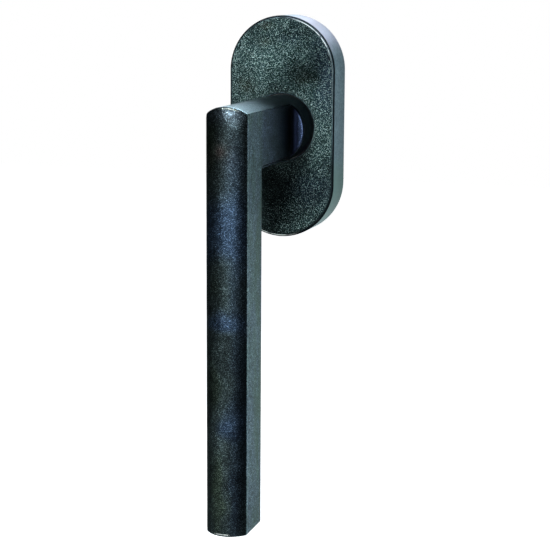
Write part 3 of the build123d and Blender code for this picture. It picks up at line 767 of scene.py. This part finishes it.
def rosette_iron():
    """Blackened iron, its face rough from the sand of the mould, its rim brushed."""
    paint = Paint("iron_rosette")
    paint.set(CAST_IRON)
    across, along, height = paint.axes()
    out = paint.math(along, -1.0, "MULTIPLY")
    face, edge, inside = paint.attribute("face"), paint.attribute("edge"), paint.attribute("inside")
    tone, rim_hue_and_highlight = paint.attribute("tone"), paint.attribute("rim_hue_and_highlight")

    # The face: its tone holds painted shadow below the neck and painted shade at the foot, and the brightest
    # crystals are painted glints
    skin = clouded(paint, (0.018, 0.028, 0.037), (0.018, 0.030, 0.030), (0.026, 0.028, 0.020))
    skin = paint.tint(skin, tone)
    cloud = paint.noise(3.5, detail=2, rough=0.5, offset=1.0)
    skin = paint.tint(skin, paint.spread(cloud, 0.3, 0.7, 0.75, 1.25))
    sparkle, leaning = paint.crystals(0.12, 0.5)
    skin = paint.tint(skin, paint.spread(sparkle, 0.0, 1.0, 0.02, 1.15, smooth=False))
    glint = paint.tint((0.205, 0.278, 0.266), tone)
    skin = paint.mix(paint.spread(sparkle, 0.90, 0.96), skin, glint)

    # The rim, lilac where its hue is above 0 and green where it is below, painted highlight colours; it is
    # painted darker towards the back, painted shade, and its painted light clouds brighten or darken it at
    # the top right
    mottle = paint.spread(paint.noise(1.5, detail=4, rough=0.6, offset=4.0), 0.35, 0.65)
    rim = paint.mix(mottle, (0.130, 0.200, 0.230), (0.162, 0.236, 0.270))
    speck = paint.crystals(0.42)[0]
    rim = paint.tint(rim, paint.spread(speck, 0.0, 1.0, 0.65, 1.35, smooth=False))
    rim = paint.mix(paint.spread(rim_hue_and_highlight, 0, 1, 0.0, 0.85), rim, (0.215, 0.200, 0.258))
    rim = paint.mix(paint.spread(rim_hue_and_highlight, 0, -1, 0.0, 0.85), rim, (0.148, 0.240, 0.216))
    rim = paint.tint(rim, paint.spread(out, 1.0, 11.0, 0.86, 1.12))
    rim = paint.tint(rim, paint.attribute("rim_painted_light"))
    rim = paint.mix(inside, rim, paint.mix(mottle, (0.030, 0.036, 0.040), (0.055, 0.066, 0.072)))
    colour = paint.mix(face, rim, skin)
    # Painted shade: the front edge nearly black
    colour = paint.mix(edge, colour, (0.004, 0.006, 0.007))

    # Painted highlights: bright lines along the upper right edge and the foot of the face
    level = paint.math(paint.math(height, ROSETTE_STRAIGHT, "MINIMUM"), -ROSETTE_STRAIGHT, "MAXIMUM")
    reach = paint.hypot(across, paint.math(height, level, "SUBTRACT"))
    inward = paint.math(ROSETTE_HALF_WIDTH, reach, "SUBTRACT")
    for name, place, light in (("painted_edge_highlight", 0.74, (0.36, 0.39, 0.38)), ("painted_sill_highlight", 0.48, (0.75, 0.77, 0.71))):
        band = paint.band(inward, place, 0.15, 0.05)
        colour = paint.mix(paint.math(band, paint.attribute(name), "MULTIPLY"), colour, light)
    paint.link(colour, "Base Color")

    rough = paint.spread(paint.math(face, inside, "MAXIMUM"), 0, 1, 0.36, 0.60)
    paint.link(paint.mix(edge, rough, 0.5), "Roughness")
    normal = paint.nodes.new("ShaderNodeMix")
    normal.data_type = "VECTOR"
    paint.links.new(face, normal.inputs["Factor"])
    paint.links.new(paint.normal(), normal.inputs[4])
    paint.links.new(leaning, normal.inputs[5])
    grain = paint.noise(0.10, detail=2, rough=0.7)
    depth = paint.spread(face, 0, 1, 0.04, 1.0)
    paint.link(paint.bump(paint.math(grain, depth, "MULTIPLY"), 0.05, under=normal.outputs[1]), "Normal")
    return paint.material


PLATE_SCREW_HEIGHT = 13.85
plated = (0.52, 0.54, 0.56), (0.64, 0.63, 0.59)
steel = (0.44, 0.435, 0.42), (0.55, 0.545, 0.535)
zinc = (0.36, 0.362, 0.365), (0.46, 0.46, 0.455)
blued = (0.27, 0.28, 0.30), (0.40, 0.41, 0.43)
black = (0.045, 0.046, 0.05), (0.085, 0.085, 0.088)
polished = (0.66, 0.67, 0.69), (0.76, 0.77, 0.78)
materials = {
    "cast_iron_grip": grip_iron(),
    "cast_iron_rosette": rosette_iron(),
    "black_nylon": nylon("nylon_black", (0.013, 0.013, 0.014), 0.46),
    "pale_nylon": nylon("nylon_pale", (0.70, 0.67, 0.58), 0.40),
    "zinc_casting": worked_metal("zinc", *zinc, 0.46, mark_size=1.2, depth=0.01, grain=0.02),
    "turned_steel": worked_metal("steel_turned", *steel, 0.30, turned(0)),
    "plated_steel": worked_metal("steel_plated", *plated, 0.27, turned(SCREW_HEIGHT), 0.3, 0.003),
    "black_steel": worked_metal("steel_black", *black, 0.38, turned(0), 0.2),
    "spring_steel": worked_metal("steel_spring", *blued, 0.28, stretched(1, 1, 0.1), 0.15, 0.002),
    "bright_steel": worked_metal("steel_bright", *polished, 0.12, mark_size=0.5, depth=0.0005),
}
sleeve_steel = worked_metal("steel_sleeve", *steel, 0.30, turned(SCREW_HEIGHT))
own_materials = {
    "spindle": worked_metal("steel_drawn_bar", *plated, 0.30, stretched(1, 0.04, 1), 0.25, 0.004),
    "detent_plate": worked_metal("steel_rolled_plate", *plated, 0.30, stretched(1, 1, 0.08), 0.12, 0.0012),
    "plate_screws": worked_metal("steel_small_screws", *plated, 0.27, turned(PLATE_SCREW_HEIGHT), 0.3, 0.003),
    "locating_sleeve_upper": sleeve_steel,
    "locating_sleeve_lower": sleeve_steel,
}


def dress(thing, material):
    thing.data.materials.clear()
    thing.data.materials.append(material)


slot_of = {part["node"]: part["material_slot"] for part in frame["record"]["subparts"]}
for name, thing in frame["nodes"].items():
    dress(thing, own_materials.get(name) or materials[slot_of[name]])
dress(lever, materials["cast_iron_grip"])
dress(cover, materials["cast_iron_rosette"])
for screw in screws:
    dress(screw, materials["plated_steel"])


# Floor

FLOOR_HALF = 3.0
FLOOR_LEVEL = -0.40


def make_floor():
    """White to the camera; in what the handle reflects, it glows more the further it is behind the handle."""
    mesh = bpy.data.meshes.new("floor")
    corners = [(FLOOR_HALF * x, FLOOR_HALF * y, FLOOR_LEVEL) for x, y in ((-1, -1), (1, -1), (1, 1), (-1, 1))]
    mesh.from_pydata(corners, [], [(0, 1, 2, 3)])
    floor = bpy.data.objects.new("floor", mesh)
    bpy.context.scene.collection.objects.link(floor)
    material = bpy.data.materials.new("floor")
    material.use_nodes = True
    nodes, links = material.node_tree.nodes, material.node_tree.links
    nodes.clear()
    out = nodes.new("ShaderNodeOutputMaterial")
    add = nodes.new("ShaderNodeAddShader")
    matt = nodes.new("ShaderNodeBsdfDiffuse")
    matt.inputs["Color"].default_value = (0.85, 0.85, 0.85, 1)
    glow = nodes.new("ShaderNodeEmission")
    path = nodes.new("ShaderNodeLightPath")
    place = nodes.new("ShaderNodeTexCoord")
    split = nodes.new("ShaderNodeSeparateXYZ")
    aside = math_node(nodes, "ABSOLUTE")
    ahead = math_node(nodes, "MULTIPLY_ADD")
    ahead.inputs[1].default_value = -0.6
    behind = map_range(nodes, 0.0, 1.1, 0.0, 0.95, smooth=False)
    reflected = math_node(nodes, "MULTIPLY")
    strength = math_node(nodes, "MULTIPLY_ADD")
    strength.inputs[1].default_value = 0.94
    tint = nodes.new("ShaderNodeMix")
    tint.data_type = "RGBA"
    tint.inputs[6].default_value = (*COOL, 1)
    tint.inputs[7].default_value = (1, 1, 1, 1)
    links.new(place.outputs["Object"], split.inputs[0])
    links.new(split.outputs["X"], aside.inputs[0])
    links.new(aside.outputs[0], ahead.inputs[0])
    links.new(split.outputs["Y"], ahead.inputs[2])
    links.new(ahead.outputs[0], behind.inputs["Value"])
    links.new(path.outputs["Is Glossy Ray"], reflected.inputs[0])
    links.new(behind.outputs["Result"], reflected.inputs[1])
    links.new(path.outputs["Is Camera Ray"], tint.inputs["Factor"])
    links.new(tint.outputs[2], glow.inputs["Color"])
    links.new(path.outputs["Is Camera Ray"], strength.inputs[0])
    links.new(reflected.outputs[0], strength.inputs[2])
    links.new(strength.outputs[0], glow.inputs["Strength"])
    links.new(matt.outputs[0], add.inputs[0])
    links.new(glow.outputs[0], add.inputs[1])
    links.new(add.outputs[0], out.inputs["Surface"])
    mesh.materials.append(material)


make_floor()

bpy.context.scene.view_settings.view_transform = "Standard"
